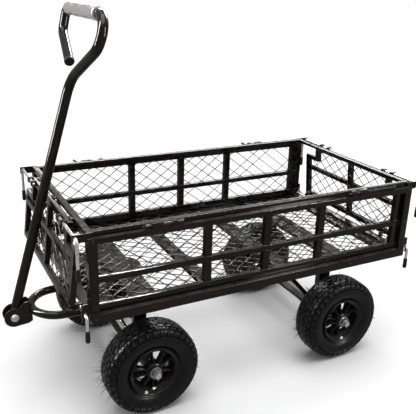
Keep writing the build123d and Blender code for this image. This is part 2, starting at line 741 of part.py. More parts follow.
def handle_grip():
    plane = handle_plane()
    left = GRIP_LEFT
    right = GRIP_RIGHT
    with BuildPart() as part:
        spot = plane.from_local_coords(Vector((left + right) / 2, HANDLE_REACH, 0))
        with Locations(Pos(*spot) * Rot(90, 0, 0)):
            Cylinder(GRIP_RADIUS, left - right)
        fillet(part.edges(), 3)
        with Locations(Pos(*spot) * Rot(90, 0, 0)):
            Cylinder(HANDLE_RADIUS, left - right + 10, mode=Mode.SUBTRACT)
    save(part, "handle_grip")


def handle_cap():
    """Plug over the free end of the handle's return leg."""
    points = handle_path()
    end = points[-1]
    direction = (points[-1] - points[-2]).normalized()
    with BuildPart() as part:
        with BuildSketch(Plane(end, z_dir=direction)):
            Circle(HANDLE_RADIUS + 0.6)
        extrude(amount=9)
        fillet(part.faces().sort_by(Axis(end, direction))[-1].edges(), 4)
    save(part, "handle_cap")


# ---------------------------------------------------------------- wheels

def wheel_plane(x, side):
    """Section plane of a wheel: local x is the radius, local y points outwards."""
    return Plane((x, side * WHEEL_Y, TYRE_RADIUS), x_dir=(1, 0, 0), z_dir=(0, 0, side))


def wheel_axis(x, side):
    return Axis((x, side * WHEEL_Y, TYRE_RADIUS), (0, side, 0))


def revolve_profile(x, side, points):
    with BuildSketch(wheel_plane(x, side)) as section:
        with BuildLine():
            Polyline(*points, close=True)
        make_face()
    revolve(section.sketch, axis=wheel_axis(x, side))


def tyre(label, x, side):
    w = TYRE_WIDTH / 2
    r = TYRE_RADIUS
    rim = RIM_RADIUS
    with BuildPart() as part:
        revolve_profile(x, side, (
            (rim - 2, -27), (rim + 8, -33), (rim + 22, -w + 2), (rim + 36, -w), (r - 13, -w + 4),
            (r - 4, -w + 14), (r - 1, -14), (r, 0), (r - 1, 14), (r - 4, w - 14), (r - 13, w - 4),
            (rim + 36, w), (rim + 22, w - 2), (rim + 8, 33), (rim - 2, 27), (rim - 2, 21),
            (rim + 8, 26), (rim + 22, w - 9), (rim + 36, w - 7), (r - 16, w - 13), (r - 10, 14),
            (r - 9, 0), (r - 10, -14), (r - 16, 13 - w), (rim + 36, 7 - w), (rim + 22, 9 - w),
            (rim + 8, -26), (rim - 2, -21),
        ))
    save(part, label)


def inner_tube(label, x, side):
    """Inner tube with its valve stem through the rim."""
    r = TYRE_RADIUS
    with BuildPart() as part:
        base = RIM_RADIUS + 0.5
        skin = base + 2
        revolve_profile(x, side, (
            (base, -8), (base, -18), (base + 9, -24), (base + 23, -30), (r - 20, -26),
            (r - 13, -10), (r - 12, 0), (r - 13, 10), (r - 20, 26), (base + 23, 30),
            (base + 9, 24), (base, 18), (base, -6), (skin, -6), (skin, 16), (skin + 9, 22),
            (base + 23, 27), (r - 22, 24), (r - 16, 8), (r - 16, -8), (r - 22, -24),
            (base + 23, -27), (skin + 9, -22), (skin, -16), (skin, -8),
        ))
        stem = RIM_RADIUS - 20
        rod_z(x, side * (WHEEL_Y + 8), TYRE_RADIUS + stem, TYRE_RADIUS + RIM_RADIUS + 1.5, 3.5)
    save(part, label)


def rim_wheel(label, x, side):
    """Pressed rim with a dished disc pierced by five windows, and a tubular hub."""
    r = RIM_RADIUS
    with BuildPart() as part:
        revolve_profile(x, side, (
            (r - 3, -29), (r + 4, -34.5), (r + 4, -36.5), (r - 5, -31), (r - 8, -16), (r - 14, 2),
            (r - 36, 10), (HUB_RADIUS - 4, 14), (HUB_RADIUS - 4, 18), (r - 34, 14), (r - 9, 8),
            (r - 8, 16), (r - 5, 31), (r + 4, 36.5), (r + 4, 34.5), (r - 3, 29), (r - 3, 20),
            (r - 1, 18), (r - 1, -18), (r - 3, -20),
        ))
        rod_y(x, side * (WHEEL_Y - HUB_HALF), side * (WHEEL_Y + HUB_HALF), TYRE_RADIUS, HUB_RADIUS)
        rod_y(x, side * (WHEEL_Y - 50), side * (WHEEL_Y + 50), TYRE_RADIUS, BEARING_RADIUS, Mode.SUBTRACT)
        with BuildSketch(Plane.XZ.offset(-side * WHEEL_Y)):
            with Locations((x, TYRE_RADIUS)):
                with PolarLocations(36, 5, 36):
                    window()
        extrude(amount=30, both=True, mode=Mode.SUBTRACT)
        rod_z(x, side * (WHEEL_Y + 8), TYRE_RADIUS + 30, TYRE_RADIUS + 90, 4.2, Mode.SUBTRACT)
    save(part, label)


def window():
    """Trapezoid window between two spokes, narrower towards the hub."""
    Polygon((-11, -5), (12, -14.5), (12, 14.5), (-11, 5), align=None)


def bearings(label, x, side):
    with BuildPart() as part:
        for place in (-1, 1):
            outer = WHEEL_Y + place * HUB_HALF
            rod_y(x, side * outer, side * (outer - place * BEARING_WIDTH), TYRE_RADIUS, BEARING_RADIUS)
        rod_y(
            x, side * (WHEEL_Y - 60), side * (WHEEL_Y + 60), TYRE_RADIUS,
            AXLE_RADIUS + RUNNING_PLAY, Mode.SUBTRACT,
        )
    save(part, label)


# ---------------------------------------------------------------- everything

bed_frame()
floor_straps()
floor_mesh()
front_crossmember()
kingpin()
rear_axle_supports()
rear_braces()
axle("front_axle", MID + FRONT_AXLE_X)
axle("rear_axle", MID + REAR_AXLE_X)
axle_nuts("front_axle_nuts", MID + FRONT_AXLE_X)
axle_nuts("rear_axle_nuts", MID + REAR_AXLE_X)

for hand, hand_sign in (("left", 1), ("right", -1)):
    side_frame(f"{hand}_side_frame", hand_sign)
    side_mesh(f"{hand}_side_mesh", hand_sign)
    bolt_brackets(f"{hand}_bolt_brackets", hand_sign)
    slide_bolt(f"{hand}_front_bolt", hand_sign, 352, 246)
    slide_bolt(f"{hand}_rear_bolt", hand_sign, -244, -420)
    for place, x_axle in (("front", FRONT_AXLE_X), ("rear", REAR_AXLE_X)):
        tyre(f"{hand}_{place}_tyre", MID + x_axle, hand_sign)
        inner_tube(f"{hand}_{place}_tube", MID + x_axle, hand_sign)
        rim_wheel(f"{hand}_{place}_rim", MID + x_axle, hand_sign)
        bearings(f"{hand}_{place}_bearings", MID + x_axle, hand_sign)

for place, end_sign, half_width, notch_depth in (
    ("front", 1, FRONT_GATE_HALF, FRONT_GATE_NOTCH),
    ("rear", -1, REAR_GATE_HALF, REAR_GATE_NOTCH),
):
    gate_frame(f"{place}_gate_frame", end_sign, half_width, notch_depth)
    gate_mesh(f"{place}_gate_mesh", end_sign, half_width, notch_depth)
    gate_brackets(f"{place}_gate_brackets", end_sign, half_width)
    for hand, hand_sign in (("left", 1), ("right", -1)):
        name = f"{place}_{hand}"
        latch_rod(f"{name}_top_rod", end_sign, hand_sign, TOP_ROD_X, TOP_ROD_Z, 128, TOP_ROD_LEG)
        latch_rod(
            f"{name}_low_rod", end_sign, hand_sign, LOW_ROD_X, LOW_ROD_Z, 168, LOW_ROD_LEG,
        )

carriage_frame()
turntable_plate()
tongue_loop()
yoke()
yoke_bolt()
handle_tube()
handle_grip()
handle_cap()
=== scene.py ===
"""Looks of the garden cart: studio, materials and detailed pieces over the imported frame."""
import json
import math
import random

import bpy
from mathutils import Matrix, Vector


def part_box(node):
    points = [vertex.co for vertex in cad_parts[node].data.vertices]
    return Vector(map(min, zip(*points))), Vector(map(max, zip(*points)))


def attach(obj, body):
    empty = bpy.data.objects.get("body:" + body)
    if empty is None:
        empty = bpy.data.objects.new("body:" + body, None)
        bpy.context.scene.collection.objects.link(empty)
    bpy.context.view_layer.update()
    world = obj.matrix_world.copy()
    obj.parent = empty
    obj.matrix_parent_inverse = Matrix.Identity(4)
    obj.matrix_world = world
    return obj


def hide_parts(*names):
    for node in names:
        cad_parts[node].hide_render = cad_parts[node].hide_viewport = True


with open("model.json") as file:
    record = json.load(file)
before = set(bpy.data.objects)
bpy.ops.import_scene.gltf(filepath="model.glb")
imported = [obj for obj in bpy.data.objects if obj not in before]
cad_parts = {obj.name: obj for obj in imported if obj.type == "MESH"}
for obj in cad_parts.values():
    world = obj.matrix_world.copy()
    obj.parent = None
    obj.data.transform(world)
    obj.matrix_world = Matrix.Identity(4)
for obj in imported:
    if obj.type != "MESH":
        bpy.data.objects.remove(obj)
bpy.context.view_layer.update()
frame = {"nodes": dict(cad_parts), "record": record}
nodes = frame["nodes"]
random.seed(7)

HANDS = (("left", 1), ("right", -1))
ENDS = (("front", 1), ("rear", -1))
bed_lo, bed_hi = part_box("bed_frame")
MID = (bed_lo.x + bed_hi.x) / 2
Y_AXIS = Vector((0, 1, 0))
Z_AXIS = Vector((0, 0, 1))
DOWN = -Z_AXIS

# ------------------------------------------------------------------ camera and studio

CAMERA_PLACE = Vector((MID + 0.822458, 1.494699, 1.078667))
CAMERA_YAW, CAMERA_PITCH, CAMERA_ROLL = (math.radians(a) for a in (242.186, 20.437, 1.804))
CAMERA_LENS = 52.797
CAMERA_FAR = 1000
STUDIO_CENTRE = Vector((0, 0, 0.4))
WORLD_STRENGTH = 0.42
OVERHEAD_STRENGTH = 2.60
OVERHEAD_SPREAD = math.radians(55)
FLOOR_HALF = 200
WALL_RADIUS = 45
WALL_HEIGHT = 70
WALL_SIDES = 32
WALL_GLOW = 0.97
# Name, distances along the view, to its right and up, size, power.
SOFTBOXES = (
    ("back_softbox", 2.3, 0, 2.1, (2.8, 0.30), 200), ("low_strip", 3.2, 0, 1.05, (4.2, 0.16), 14),
    ("left_softbox", -0.6, -2.5, 1.5, (0.40, 2.4), 240),
    ("right_strip", -1.3, 2.5, 1.3, (0.30, 2.2), 80),
)


def make_camera():
    """Camera at the viewing place; returns its level direction."""
    flat = Vector((math.cos(CAMERA_YAW), math.sin(CAMERA_YAW), 0))
    forward = flat * math.cos(CAMERA_PITCH) - Z_AXIS * math.sin(CAMERA_PITCH)
    right = forward.cross(Z_AXIS).normalized()
    up = right.cross(forward)
    c, s = math.cos(CAMERA_ROLL), math.sin(CAMERA_ROLL)
    turned_right = right * c + up * s
    turned_up = up * c - right * s
    data = bpy.data.cameras.new("camera")
    data.lens = CAMERA_LENS
    data.sensor_width = 36
    data.clip_end = CAMERA_FAR
    camera = bpy.data.objects.new("camera", data)
    bpy.context.scene.collection.objects.link(camera)
    rotation = Matrix((turned_right, turned_up, -forward)).transposed().to_4x4()
    camera.matrix_world = Matrix.Translation(CAMERA_PLACE) @ rotation
    bpy.context.scene.camera = camera
    return flat


def area_light(name, offset, size, power):
    """Strip light aimed at the part, seen only in its gloss."""
    data = bpy.data.lights.new(name, "AREA")
    data.shape = "RECTANGLE"
    data.size, data.size_y = size
    data.energy = power
    light = bpy.data.objects.new(name, data)
    bpy.context.scene.collection.objects.link(light)
    light.rotation_euler = (-offset).to_track_quat("-Z", "Y").to_euler()
    light.location = STUDIO_CENTRE + offset
    light.visible_camera = False
    light.visible_diffuse = False


def make_studio(view):
    """White studio: even world light, an overhead sun for the soft shadow, strips for gloss."""
    scene = bpy.context.scene
    scene.view_settings.view_transform = "Standard"
    world = bpy.data.worlds.new("studio")
    scene.world = world
    world.use_nodes = True
    background = world.node_tree.nodes["Background"]
    background.inputs["Color"].default_value = (1.0, 1.0, 1.0, 1)
    background.inputs["Strength"].default_value = WORLD_STRENGTH
    side = Vector((view.y, -view.x, 0))
    for name, ahead, across, up, size, power in SOFTBOXES:
        area_light(name, view * ahead + side * across + Z_AXIS * up, size, power)
    overhead = bpy.data.lights.new("overhead", "SUN")
    overhead.energy = OVERHEAD_STRENGTH
    overhead.angle = OVERHEAD_SPREAD
    lamp = bpy.data.objects.new("overhead", overhead)
    lamp.location = STUDIO_CENTRE + Z_AXIS * 3
    scene.collection.objects.link(lamp)
    half = FLOOR_HALF
    corners = [(-half, -half, 0), (half, -half, 0), (half, half, 0), (-half, half, 0)]
    floor = mesh_object("floor", corners, [(0, 1, 2, 3)])
    floor.data.materials.append(floor_material())
    floor.visible_glossy = False
    make_backdrop()


def make_backdrop():
    """Pale wall far behind the floor; it neither lights the part nor shows in its gloss."""
    material, _, shader = new_material("studio_wall")
    shader.inputs["Base Color"].default_value = (0, 0, 0, 1)
    shader.inputs["Emission Color"].default_value = (1, 1, 1, 1)
    shader.inputs["Emission Strength"].default_value = WALL_GLOW
    material.cycles.emission_sampling = "NONE"
    turns = [math.tau * i / WALL_SIDES for i in range(WALL_SIDES)]
    vertices = [
        (WALL_RADIUS * math.cos(a), WALL_RADIUS * math.sin(a), z)
        for z in (0, WALL_HEIGHT) for a in turns
    ]
    faces = [
        (i, (i + 1) % WALL_SIDES, WALL_SIDES + (i + 1) % WALL_SIDES, WALL_SIDES + i)
        for i in range(WALL_SIDES)
    ]
    wall = mesh_object("backdrop", vertices, faces)
    wall.data.materials.append(material)
    wall.visible_diffuse = False
    wall.visible_glossy = False
    wall.visible_shadow = False


# ------------------------------------------------------------------ materials

def new_material(name):
    material = bpy.data.materials.new(name)
    material.use_nodes = True
    tree = material.node_tree
    return material, tree, tree.nodes["Principled BSDF"]


def object_coordinates(tree, stretch=(1, 1, 1)):
    coordinates = tree.nodes.new("ShaderNodeTexCoord")
    mapping = tree.nodes.new("ShaderNodeMapping")
    mapping.inputs["Scale"].default_value = stretch
    tree.links.new(coordinates.outputs["Object"], mapping.inputs["Vector"])
    return mapping.outputs["Vector"]


def noise(tree, scale, detail=4.0, roughness=0.55, stretch=(1, 1, 1), distortion=0.0):
    texture = tree.nodes.new("ShaderNodeTexNoise")
    texture.inputs["Scale"].default_value = scale
    texture.inputs["Detail"].default_value = detail
    texture.inputs["Roughness"].default_value = roughness
    texture.inputs["Distortion"].default_value = distortion
    tree.links.new(object_coordinates(tree, stretch), texture.inputs["Vector"])
    return texture.outputs["Fac"]


def remap(tree, value, low, high, out_low, out_high):
    node = tree.nodes.new("ShaderNodeMapRange")
    node.inputs["From Min"].default_value = low
    node.inputs["From Max"].default_value = high
    node.inputs["To Min"].default_value = out_low
    node.inputs["To Max"].default_value = out_high
    tree.links.new(value, node.inputs["Value"])
    return node.outputs["Result"]


def arithmetic(tree, operation, first, second):
    node = tree.nodes.new("ShaderNodeMath")
    node.operation = operation
    for socket, value in zip(node.inputs, (first, second)):
        if isinstance(value, (int, float)):
            socket.default_value = value
        else:
            tree.links.new(value, socket)
    return node.outputs["Value"]


def mix_colour(tree, factor, first, second):
    node = tree.nodes.new("ShaderNodeMix")
    node.data_type = "RGBA"
    tree.links.new(factor, node.inputs["Factor"])
    for socket, value in ((node.inputs[6], first), (node.inputs[7], second)):
        if isinstance(value, tuple):
            socket.default_value = (*value, 1)
        else:
            tree.links.new(value, socket)
    return node.outputs[2]


def bump(tree, height, strength, distance, below=None):
    node = tree.nodes.new("ShaderNodeBump")
    node.inputs["Strength"].default_value = strength
    node.inputs["Distance"].default_value = distance
    tree.links.new(height, node.inputs["Height"])
    if below is not None:
        tree.links.new(below, node.inputs["Normal"])
    return node.outputs["Normal"]


def edge_wear_and_highlight_mask(tree, low, high):
    """Convex edges, broken up so that wear is uneven; the lighter colour put there is partly edge wear and
    partly a painted highlight.
    """
    geometry = tree.nodes.new("ShaderNodeNewGeometry")
    edges = remap(tree, geometry.outputs["Pointiness"], low, high, 0, 1)
    patches = remap(tree, noise(tree, 55, 5, 0.7), 0.48, 0.66, 0, 1)
    return arithmetic(tree, "MULTIPLY", edges, patches)


def upward_dust(tree, amount):
    """Thin dust that settles on faces that look up."""
    geometry = tree.nodes.new("ShaderNodeNewGeometry")
    split = tree.nodes.new("ShaderNodeSeparateXYZ")
    tree.links.new(geometry.outputs["Normal"], split.inputs["Vector"])
    up = remap(tree, split.outputs["Z"], 0.4, 1.0, 0, amount)
    patches = remap(tree, noise(tree, 30, 6, 0.65), 0.35, 0.7, 0.2, 1)
    return arithmetic(tree, "MULTIPLY", up, patches)


def powder_coat(name, dark, light, peel=0.07):
    """Gloss powder coat: orange peel, faint scuffs, dust on the tops and lighter edges that are partly bare
    wear and partly a painted highlight.
    """
    material, tree, shader = new_material(name)
    cloud = remap(tree, noise(tree, 9, 5, 0.6), 0.3, 0.7, 0, 1)
    colour = mix_colour(tree, cloud, dark, light)
    scuffs = remap(tree, noise(tree, 60, 8, 0.75, (1, 1, 4), 0.6), 0.62, 0.78, 0, 0.6)
    colour = mix_colour(tree, scuffs, colour, (0.040, 0.033, 0.029))
    colour = mix_colour(tree, upward_dust(tree, 0.42), colour, (0.17, 0.15, 0.14))
    # Lighter colour on convex edges: partly edge wear, partly a painted highlight along the edges.
    colour = mix_colour(tree, edge_wear_and_highlight_mask(tree, 0.68, 0.88), colour, (0.12, 0.10, 0.09))
    tree.links.new(colour, shader.inputs["Base Color"])
    rough = remap(tree, noise(tree, 25, 5, 0.6), 0.3, 0.7, 0.07, 0.16)
    rough = arithmetic(tree, "ADD", rough, arithmetic(tree, "MULTIPLY", scuffs, 0.35))
    tree.links.new(rough, shader.inputs["Roughness"])
    shader.inputs["Specular IOR Level"].default_value = 0.24
    fine = bump(tree, noise(tree, 520, 2, 0.5), peel, 0.0006)
    broad = bump(tree, noise(tree, 70, 3, 0.5), 0.05, 0.0012, fine)
    tree.links.new(broad, shader.inputs["Normal"])
    return material


def zinc_plate(name, tone=(0.62, 0.61, 0.59), rough=(0.20, 0.36)):
    """Bright zinc with faint bluish and straw patches and drawn lines."""
    material, tree, shader = new_material(name)
    cloud = remap(tree, noise(tree, 45, 5, 0.6), 0.35, 0.65, 0, 1)
    colour = mix_colour(tree, cloud, tone, tuple(v * f for v, f in zip(tone, (0.80, 0.84, 0.90))))
    straw = remap(tree, noise(tree, 120, 4, 0.6, distortion=0.4), 0.58, 0.74, 0, 0.5)
    colour = mix_colour(tree, straw, colour, (0.42, 0.37, 0.29))
    grime = remap(tree, noise(tree, 200, 6, 0.7), 0.60, 0.80, 0, 0.7)
    colour = mix_colour(tree, grime, colour, (0.14, 0.13, 0.12))
    tree.links.new(colour, shader.inputs["Base Color"])
    shader.inputs["Metallic"].default_value = 0.75
    tree.links.new(remap(tree, noise(tree, 300, 3, 0.6), 0.3, 0.7, *rough), shader.inputs["Roughness"])
    drawn = bump(tree, noise(tree, 900, 3, 0.6, (1, 0.05, 1)), 0.12, 0.0003)
    tree.links.new(bump(tree, noise(tree, 160, 3, 0.5), 0.10, 0.0005, drawn), shader.inputs["Normal"])
    return material


def rubber(name, dark, light, rough, grain=700, dust=0.25):
    """Moulded rubber: fine grain, chalky bloom and scattered dust specks."""
    material, tree, shader = new_material(name)
    bloom = remap(tree, noise(tree, 22, 6, 0.65), 0.35, 0.68, 0, 1)
    colour = mix_colour(tree, bloom, dark, light)
    specks = remap(tree, noise(tree, 330, 5, 0.7), 0.62, 0.75, 0, dust)
    colour = mix_colour(tree, specks, colour, (0.09, 0.08, 0.07))
    tree.links.new(colour, shader.inputs["Base Color"])
    tree.links.new(remap(tree, noise(tree, 60, 5, 0.6), 0.3, 0.7, *rough), shader.inputs["Roughness"])
    shader.inputs["Specular IOR Level"].default_value = 0.17
    fine = bump(tree, noise(tree, grain, 4, 0.6), 0.22, 0.0005)
    tree.links.new(bump(tree, noise(tree, 90, 4, 0.55), 0.12, 0.0015, fine), shader.inputs["Normal"])
    return material


def grip_sleeve(name):
    """Glossy silver-grey sleeve with a soft mottle and fine rings round it."""
    material, tree, shader = new_material(name)
    cloud = remap(tree, noise(tree, 30, 4, 0.5), 0.3, 0.7, 0, 1)
    colour = mix_colour(tree, cloud, (0.50, 0.45, 0.435), (0.56, 0.505, 0.49))
    marks = remap(tree, noise(tree, 240, 6, 0.7, (1, 0.4, 1)), 0.66, 0.84, 0, 0.14)
    colour = mix_colour(tree, marks, colour, (0.30, 0.30, 0.30))
    tree.links.new(colour, shader.inputs["Base Color"])
    shader.inputs["Metallic"].default_value = 0.45
    tree.links.new(remap(tree, noise(tree, 140, 4, 0.6), 0.3, 0.7, 0.20, 0.28), shader.inputs["Roughness"])
    shader.inputs["Coat Weight"].default_value = 0.5
    shader.inputs["Coat Roughness"].default_value = 0.08
    rings = bump(tree, noise(tree, 300, 2, 0.5, (0.05, 1, 0.05)), 0.02, 0.0002)
    tree.links.new(bump(tree, noise(tree, 420, 3, 0.5), 0.012, 0.0002, rings), shader.inputs["Normal"])
    return material


def floor_material():
    material, tree, shader = new_material("studio_floor")
    cloud = remap(tree, noise(tree, 1.5, 3, 0.5), 0.3, 0.7, 0, 1)
    colour = mix_colour(tree, cloud, (0.955, 0.955, 0.955), (0.970, 0.970, 0.970))
    tree.links.new(colour, shader.inputs["Base Color"])
    shader.inputs["Roughness"].default_value = 0.9
    shader.inputs["Specular IOR Level"].default_value = 0.1
    return material


BLACK = powder_coat("powder_coat", (0.0032, 0.0020, 0.0017), (0.0088, 0.0058, 0.0049))
BLACK_WIRE = powder_coat("powder_coat_wire", (0.0045, 0.0034, 0.0030), (0.0100, 0.0075, 0.0066), 0.06)
RIM_PAINT = powder_coat("rim_paint", (0.0035, 0.0033, 0.0033), (0.0080, 0.0076, 0.0074), 0.06)
ZINC = zinc_plate("zinc_plate")
DARK_STEEL = zinc_plate("bearing_steel", (0.30, 0.30, 0.30), (0.16, 0.30))
BLACKENED_STEEL = zinc_plate("blackened_steel", (0.060, 0.056, 0.053), (0.14, 0.26))
TYRE_RUBBER = rubber("tyre_rubber", (0.0030, 0.0027, 0.0026), (0.0075, 0.0068, 0.0065), (0.24, 0.44))
SOFT_BLACK = rubber(
    "dipped_rubber", (0.0060, 0.0050, 0.0048), (0.0120, 0.0105, 0.0100), (0.38, 0.55), 500, 0.10,
)
GRIP = grip_sleeve("grip_sleeve")
SLOT_MATERIAL = {
    "black_coat": BLACK, "black_mesh": BLACK_WIRE, "zinc": ZINC, "tyre": TYRE_RUBBER,
    "tube_rubber": SOFT_BLACK, "rim_black": RIM_PAINT, "bearing_steel": DARK_STEEL,
    "grip_silver": GRIP, "cap_rubber": SOFT_BLACK,
}


# ------------------------------------------------------------------ mesh helpers

def mesh_object(name, vertices, faces, sharp=None):
    """New object in the scene; shaded smooth below the sharp angle, given in degrees."""
    mesh = bpy.data.meshes.new(name)
    mesh.from_pydata([tuple(v) for v in vertices], [], faces)
    mesh.validate()
    if sharp is not None:
        mesh.polygons.foreach_set("use_smooth", [True] * len(mesh.polygons))
        mesh.set_sharp_from_angle(angle=math.radians(sharp))
    piece = bpy.data.objects.new(name, mesh)
    bpy.context.scene.collection.objects.link(piece)
    return piece


def dress(piece, material, body, slot, *replaced):
    """Give a piece its material, the body it rides on and what it replaces; the slot argument is not used.
    """
    if not piece.data.materials:
        piece.data.materials.append(material)
    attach(piece, body)
    if replaced:
        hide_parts(*replaced)


class Shape:
    """Collects many small closed forms into one mesh."""

    def __init__(self):
        self.vertices = []
        self.faces = []

    def add(self, vertices, faces):
        start = len(self.vertices)
        self.vertices += vertices
        self.faces += [tuple(i + start for i in face) for face in faces]

    def tube(self, points, radii, sides):
        """Round bar along points, with one radius for each point."""
        if isinstance(radii, (int, float)):
            radii = [radii] * len(points)
        count = len(points)
        tangents = []
        for i in range(count):
            step = points[min(i + 1, count - 1)] - points[max(i - 1, 0)]
            tangents.append(step.normalized())
        across = tangents[0].orthogonal().normalized()
        vertices = []
        for point, tangent, radius in zip(points, tangents, radii):
            across = (across - tangent * across.dot(tangent)).normalized()
            other = tangent.cross(across)
            for k in range(sides):
                a = math.tau * k / sides
                vertices.append(point + (across * math.cos(a) + other * math.sin(a)) * radius)
        faces = []
        for i in range(count - 1):
            for k in range(sides):
                n = (k + 1) % sides
                faces.append((i * sides + k, i * sides + n, (i + 1) * sides + n, (i + 1) * sides + k))
        faces.append(tuple(range(sides - 1, -1, -1)))
        faces.append(tuple(range((count - 1) * sides, count * sides)))
        self.add(vertices, faces)

    def lathe(self, centre, axis, profile, sides=32, closed=False):
        """Profile of (distance along the axis, radius), turned about the axis."""
        axis = Vector(axis).normalized()
        across = axis.orthogonal().normalized()
        other = axis.cross(across)
        vertices = []
        for along, radius in profile:
            for k in range(sides):
                a = math.tau * k / sides
                ring = across * math.cos(a) + other * math.sin(a)
                vertices.append(Vector(centre) + axis * along + ring * radius)
        rows = len(profile)
        faces = []
        for i in range(rows if closed else rows - 1):
            j = (i + 1) % rows
            for k in range(sides):
                n = (k + 1) % sides
                faces.append((i * sides + k, i * sides + n, j * sides + n, j * sides + k))
        if not closed:
            faces.append(tuple(range(sides - 1, -1, -1)))
            faces.append(tuple(range((rows - 1) * sides, rows * sides)))
        self.add(vertices, faces)

    def object(self, name, sharp):
        return mesh_object(name, self.vertices, self.faces, sharp)


def rounded_path(points, bend, steps):
    """Polyline with each corner turned into an arc of one bend radius."""
    path = [points[0]]
    for before, corner, after in zip(points, points[1:], points[2:]):
        d0 = (before - corner).normalized()
        d1 = (after - corner).normalized()
        half = d0.angle(d1) / 2
        reach = bend / math.tan(half)
        centre = corner + (d0 + d1).normalized() * (bend / math.sin(half))
        start = corner + d0 * reach - centre
        end = corner + d1 * reach - centre
        for i in range(steps + 1):
            path.append(centre + blend_arc(start, end, i / steps))
    path.append(points[-1])
    return path


def blend_arc(start, end, t):
    """Point part of the way round the arc between two spokes of one circle."""
    angle = start.angle(end)
    if angle < 1e-6:
        return start.lerp(end, t)
    return (start * math.sin((1 - t) * angle) + end * math.sin(t * angle)) / math.sin(angle)


# ------------------------------------------------------------------ carried-over frame parts

def soften(node, width):
    """Rolled edges on a carried-over part, with clean shading."""
    piece = nodes[node]
    mesh = piece.data
    if mesh.attributes.get("custom_normal"):
        mesh.attributes.remove(mesh.attributes["custom_normal"])
    mesh.polygons.foreach_set("use_smooth", [True] * len(mesh.polygons))
    weld = piece.modifiers.new("weld", "WELD")
    weld.merge_threshold = 0.00001
    bevel = piece.modifiers.new("bevel", "BEVEL")
    bevel.width = width
    bevel.segments = 2
    bevel.limit_method = "ANGLE"
    bevel.angle_limit = math.radians(32)
    bevel.use_clamp_overlap = False
    normal = piece.modifiers.new("normals", "WEIGHTED_NORMAL")
    normal.weight = 90


def dress_frame_parts():
    for entry in frame["record"]["subparts"]:
        piece = nodes[entry["node"]]
        piece.data.materials.clear()
        piece.data.materials.append(SLOT_MATERIAL[entry["material_slot"]])
    for node in ("left_front_bolt", "left_rear_bolt", "right_front_bolt", "right_rear_bolt"):
        nodes[node].data.materials[0] = BLACKENED_STEEL
    for node in ("front_axle_nuts", "rear_axle_nuts"):
        nodes[node].data.materials[0] = DARK_STEEL
    for node, width in (
        ("bed_frame", 0.0011), ("floor_straps", 0.0012), ("front_crossmember", 0.0008),
        ("rear_axle_supports", 0.0009), ("rear_braces", 0.0010), ("carriage_frame", 0.0009),
        ("turntable_plate", 0.0007), ("yoke", 0.0010), ("yoke_bolt", 0.0006), ("kingpin", 0.0006),
        ("front_axle_nuts", 0.0005), ("rear_axle_nuts", 0.0005), ("left_side_frame", 0.0013),
        ("right_side_frame", 0.0013), ("front_gate_frame", 0.0013), ("rear_gate_frame", 0.0013),
        ("left_bolt_brackets", 0.0008), ("right_bolt_brackets", 0.0008),
        ("front_gate_brackets", 0.0007), ("rear_gate_brackets", 0.0007),
    ):
        soften(node, width)


# ------------------------------------------------------------------ woven wire panels

DIAMOND = Vector((0.050, 0.037))
WIRE_RADIUS = 0.00135
WEAVE = 0.55 * WIRE_RADIUS
SHORTEST_WIRE = 0.15


def crossings(start, step, outline):
    """Stretches of an endless line that lie inside the outline, as pairs of distances."""
    hits = []
    for a, b in zip(outline, outline[1:] + outline[:1]):
        edge = (b[0] - a[0], b[1] - a[1])
        cross = step[0] * edge[1] - step[1] * edge[0]
        if abs(cross) < 1e-12:
            continue
        dx, dy = a[0] - start[0], a[1] - start[1]
        along = (dx * edge[1] - dy * edge[0]) / cross
        part = (dx * step[1] - dy * step[0]) / cross
        if 0 <= part < 1:
            hits.append(along)
    hits.sort()
    return list(zip(hits[::2], hits[1::2]))


def wire_panel(name, place, outline, body, node):
    """Two sets of slanting wires woven over and under each other inside an outline."""
    xs = [p[0] for p in outline]
    ys = [p[1] for p in outline]
    middle = ((max(xs) + min(xs)) / 2, (max(ys) + min(ys)) / 2)
    half = (DIAMOND.x / 2, DIAMOND.y / 2)
    count = int((max(xs) - min(xs)) / half[0] + (max(ys) - min(ys)) / half[1]) + 4
    shape = Shape()
    for slant in (1, -1):
        for k in range(-count, count + 1):
            if k % 2 == 0:
                continue
            start = (middle[0] + k * half[0], middle[1])
            step = (half[0], slant * half[1])
            for low, high in crossings(start, step, outline):
                if high - low < SHORTEST_WIRE:
                    continue
                halves = range(math.ceil(low * 2), math.floor(high * 2) + 1)
                points = []
                for m in [low] + [h / 2 for h in halves] + [high]:
                    weave = math.cos(math.pi * m) * slant * WEAVE
                    points.append(place(start[0] + step[0] * m, start[1] + step[1] * m, weave))
                shape.tube(points, WIRE_RADIUS, 6)
    dress(shape.object(name, 60), BLACK_WIRE, body, "black_mesh", node)


def rectangle(lo, hi, i, j):
    return [(lo[i], lo[j]), (hi[i], lo[j]), (hi[i], hi[j]), (lo[i], hi[j])]


GATE_LEAN = {1: math.radians(7), -1: math.radians(5)}
GATE_TOP = Vector((0.492, 0.541))
GATE_HEIGHT = 0.199
GATE_HALF = {1: 0.253, -1: 0.240}
GATE_NOTCH = {1: 0.051, -1: 0.042}
GATE_NOTCH_HALF = 0.184
GATE_RAIL_EDGE = 0.009
GATE_MESH_BACK = 0.0083


def gate_place(end):
    """Function that places a point given across, up and out of a leaning gate's mesh."""
    normal = Vector((end * math.cos(GATE_LEAN[end]), 0, math.sin(GATE_LEAN[end])))
    across = Vector((0, end, 0))
    up = normal.cross(across)
    origin = Vector((MID + end * GATE_TOP.x, 0, GATE_TOP.y)) - normal * GATE_MESH_BACK
    return lambda a, b, lift: origin + across * a + up * b + normal * lift


